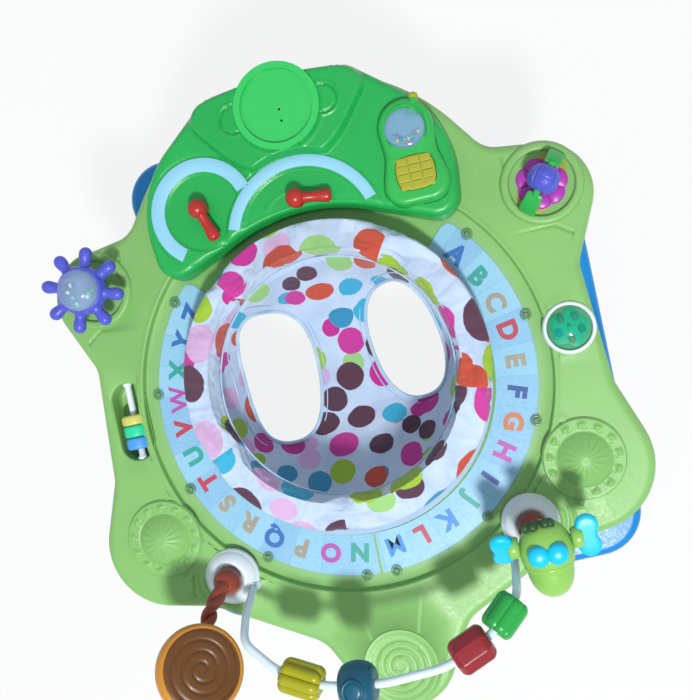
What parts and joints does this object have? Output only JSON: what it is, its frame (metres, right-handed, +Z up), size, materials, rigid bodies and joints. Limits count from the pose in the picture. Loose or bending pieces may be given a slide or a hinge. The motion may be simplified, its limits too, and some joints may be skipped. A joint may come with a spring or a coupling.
{
  "type": "baby walker",
  "caption": "Baby walker with a round toy tray, a swivelling padded fabric seat, telescoping legs and a base on swivel casters.",
  "frame": {"origin": "on the floor, under the centre of the walker's outline, which is also the seat's swivel axis", "axes": "+Z up, +Y forward, the way the child faces, towards the play panel; +X to the child's right"},
  "size_m": [0.692, 0.7797, 0.5663],
  "materials": {
    "base_blue": "satin moulded",
    "pad_rubber": "matt",
    "button_red": "satin",
    "caster_grey": "matt moulded",
    "wheel_tread": "matt",
    "tray_green": "satin moulded",
    "white_plastic": "satin",
    "printed_card": "smooth printed card",
    "clear_cover": "clear moulded plastic",
    "panel_green": "satin moulded",
    "phone_green": "satin moulded",
    "keypad_yellow": "soft satin",
    "dotted_fabric": "woven cotton with printed dots",
    "rattle_violet": "satin",
    "flower_magenta": "satin",
    "dome_teal": "tinted clear",
    "ring_colours": "satin, one colour a ring",
    "lever_red": "satin",
    "stem_brown": "satin",
    "lolly_orange": "satin, embossed spiral",
    "wing_cyan": "satin",
    "bead_yellow": "satin",
    "bead_blue": "satin",
    "bead_red": "satin",
    "bead_green": "satin"
  },
  "bodies": {
    "base": {"base_top": "base_blue", "base_pan": "base_blue", "friction_pads": "pad_rubber", "leg_tower_fl": "base_blue", "leg_tower_fr": "base_blue", "leg_tower_rl": "base_blue", "leg_tower_rr": "base_blue"},
    "tray": {"tray_top": "tray_green", "tray_bottom": "tray_green", "leg_posts": "white_plastic", "alphabet_card": "printed_card", "alphabet_cover": "clear_cover", "cover_screws": "clear_cover", "slot_pan": "tray_green", "slot_rod": "white_plastic", "play_panel": "panel_green", "dial_plates": "printed_card", "toy_station": "panel_green", "toy_cups": "white_plastic", "bead_wire": "white_plastic", "dome_ring": "white_plastic", "rattle_post": "rattle_violet", "flower_arch": "phone_green", "phone_body": "phone_green", "phone_window": "clear_cover"},
    "seat": {"seat_ring": "white_plastic", "seat_retainer": "white_plastic", "seat_pad": "dotted_fabric", "seat_bucket": "dotted_fabric"},
    "caster_fl": {"caster_fork_fl": "caster_grey"},
    "wheel_fl": {"caster_wheel_fl": "wheel_tread"},
    "button_fl": {"height_button_fl": "button_red"},
    "caster_fr": {"caster_fork_fr": "caster_grey"},
    "wheel_fr": {"caster_wheel_fr": "wheel_tread"},
    "button_fr": {"height_button_fr": "button_red"},
    "caster_rl": {"caster_fork_rl": "caster_grey"},
    "wheel_rl": {"caster_wheel_rl": "wheel_tread"},
    "button_rl": {"height_button_rl": "button_red"},
    "caster_rr": {"caster_fork_rr": "caster_grey"},
    "wheel_rr": {"caster_wheel_rr": "wheel_tread"},
    "button_rr": {"height_button_rr": "button_red"},
    "rattle": {"rattle_wheel": "rattle_violet", "rattle_dome": "clear_cover"},
    "flower": {"flower_spinner": "flower_magenta"},
    "ladybird": {"ladybird_bead": "rattle_violet"},
    "dome": {"bubble_dome": "dome_teal"},
    "clicker_left": {"clicker_dial_left": "tray_green"},
    "clicker_right": {"clicker_dial_right": "tray_green"},
    "rings": {"slot_rings": "ring_colours"},
    "dial_lever_left": {"lever_left": "lever_red"},
    "dial_lever_right": {"lever_right": "lever_red"},
    "keypad": {"phone_keypad": "keypad_yellow"},
    "lollipop": {"lollipop_stem": "stem_brown", "lollipop_disc": "lolly_orange"},
    "plane": {"plane_body": "tray_green"},
    "wings": {"plane_wings": "wing_cyan"},
    "bead_yellow_body": {"bead_yellow": "bead_yellow"},
    "bead_blue_body": {"bead_blue": "bead_blue"},
    "bead_red_body": {"bead_red": "bead_red"},
    "bead_green_body": {"bead_green": "bead_green"}
  },
  "joints": [
    {"name": "height_slide", "type": "slide", "parent": "base", "child": "tray", "axis": [0, 0, 1], "range_m": [0, 0.075]},
    {"name": "seat_swivel", "type": "hinge", "parent": "tray", "child": "seat", "pos_m": [0, 0, 0.408], "axis": [0, 0, 1], "continuous": true},
    {"name": "caster_swivel_fl", "type": "hinge", "parent": "base", "child": "caster_fl", "pos_m": [-0.267, 0.331, 0.065], "axis": [0, 0, 1], "continuous": true},
    {"name": "wheel_roll_fl", "type": "hinge", "parent": "caster_fl", "child": "wheel_fl", "pos_m": [-0.267, 0.315, 0.024], "axis": [1, 0, 0], "continuous": true},
    {"name": "button_press_fl", "type": "slide", "parent": "base", "child": "button_fl", "axis": [1, 0, 0], "range_m": [0, 0.003], "stiffness_N_per_m": 400, "springref_m": -0.002},
    {"name": "caster_swivel_fr", "type": "hinge", "parent": "base", "child": "caster_fr", "pos_m": [0.296, 0.195, 0.065], "axis": [0, 0, 1], "continuous": true},
    {"name": "wheel_roll_fr", "type": "hinge", "parent": "caster_fr", "child": "wheel_fr", "pos_m": [0.296, 0.179, 0.024], "axis": [1, 0, 0], "continuous": true},
    {"name": "button_press_fr", "type": "slide", "parent": "base", "child": "button_fr", "axis": [-1, 0, 0], "range_m": [0, 0.003], "stiffness_N_per_m": 400, "springref_m": -0.002},
    {"name": "caster_swivel_rl", "type": "hinge", "parent": "base", "child": "caster_rl", "pos_m": [-0.275, -0.276, 0.065], "axis": [0, 0, 1], "continuous": true},
    {"name": "wheel_roll_rl", "type": "hinge", "parent": "caster_rl", "child": "wheel_rl", "pos_m": [-0.275, -0.292, 0.024], "axis": [1, 0, 0], "continuous": true},
    {"name": "button_press_rl", "type": "slide", "parent": "base", "child": "button_rl", "axis": [1, 0, 0], "range_m": [0, 0.003], "stiffness_N_per_m": 400, "springref_m": -0.002},
    {"name": "caster_swivel_rr", "type": "hinge", "parent": "base", "child": "caster_rr", "pos_m": [0.275, -0.276, 0.065], "axis": [0, 0, 1], "continuous": true},
    {"name": "wheel_roll_rr", "type": "hinge", "parent": "caster_rr", "child": "wheel_rr", "pos_m": [0.275, -0.292, 0.024], "axis": [1, 0, 0], "continuous": true},
    {"name": "button_press_rr", "type": "slide", "parent": "base", "child": "button_rr", "axis": [-1, 0, 0], "range_m": [0, 0.003], "stiffness_N_per_m": 400, "springref_m": -0.002},
    {"name": "rattle_spin", "type": "hinge", "parent": "tray", "child": "rattle", "pos_m": [-0.272, 0.175, 0.446], "axis": [0, 0, 1], "continuous": true},
    {"name": "flower_spin", "type": "hinge", "parent": "tray", "child": "flower", "pos_m": [0.272, 0.176, 0.412], "axis": [0, 0, 1], "continuous": true},
    {"name": "ladybird_spin", "type": "hinge", "parent": "tray", "child": "ladybird", "pos_m": [0.272, 0.176, 0.441], "axis": [0.6428, 0.766, 0], "continuous": true},
    {"name": "dome_spin", "type": "hinge", "parent": "tray", "child": "dome", "pos_m": [0.268, 0.011, 0.408], "axis": [0, 0, 1], "continuous": true},
    {"name": "clicker_spin_left", "type": "hinge", "parent": "tray", "child": "clicker_left", "pos_m": [-0.2535, -0.137, 0.408], "axis": [0, 0, 1], "continuous": true},
    {"name": "clicker_spin_right", "type": "hinge", "parent": "tray", "child": "clicker_right", "pos_m": [0.2535, -0.137, 0.408], "axis": [0, 0, 1], "continuous": true},
    {"name": "ring_slide", "type": "slide", "parent": "tray", "child": "rings", "axis": [0, 1, 0], "range_m": [-0.004, 0.029]},
    {"name": "lever_turn_left", "type": "hinge", "parent": "tray", "child": "dial_lever_left", "pos_m": [-0.113, 0.235, 0.434], "axis": [0, 0, 1], "range_deg": [-30, 90]},
    {"name": "lever_turn_right", "type": "hinge", "parent": "tray", "child": "dial_lever_right", "pos_m": [0.001, 0.22, 0.434], "axis": [0, 0, 1], "range_deg": [-6, 180]},
    {"name": "keypad_press", "type": "slide", "parent": "tray", "child": "keypad", "axis": [0, 0, -1], "range_m": [0, 0.0015], "stiffness_N_per_m": 800, "springref_m": -0.001},
    {"name": "lollipop_swivel", "type": "hinge", "parent": "tray", "child": "lollipop", "pos_m": [-0.18, -0.197, 0.432], "axis": [0, 0, 1], "range_deg": [-60, 3]},
    {"name": "plane_nod", "type": "hinge", "parent": "tray", "child": "plane", "pos_m": [0.18, -0.197, 0.432], "axis": [1, 0, 0], "range_deg": [-8, 8], "stiffness_Nm_per_rad": 3},
    {"name": "wing_spin", "type": "hinge", "parent": "plane", "child": "wings", "pos_m": [0.19, -0.201, 0.492], "axis": [1, 0, 0], "continuous": true},
    {"name": "bead_yellow_spin", "type": "hinge", "parent": "tray", "child": "bead_yellow_body", "pos_m": [-0.089, -0.2895, 0.528], "axis": [-0.9121, 0.3831, -0.1459], "continuous": true},
    {"name": "bead_blue_spin", "type": "hinge", "parent": "tray", "child": "bead_blue_body", "pos_m": [-0.0288, -0.3022, 0.5353], "axis": [-0.9937, 0.0621, -0.0932], "continuous": true},
    {"name": "bead_red_spin", "type": "hinge", "parent": "tray", "child": "bead_red_body", "pos_m": [0.094, -0.2874, 0.5272], "axis": [-0.9121, -0.3831, 0.1459], "continuous": true},
    {"name": "bead_green_spin", "type": "hinge", "parent": "tray", "child": "bead_green_body", "pos_m": [0.1338, -0.26195, 0.5152], "axis": [-0.7181, -0.6184, 0.3192], "continuous": true}
  ]
}
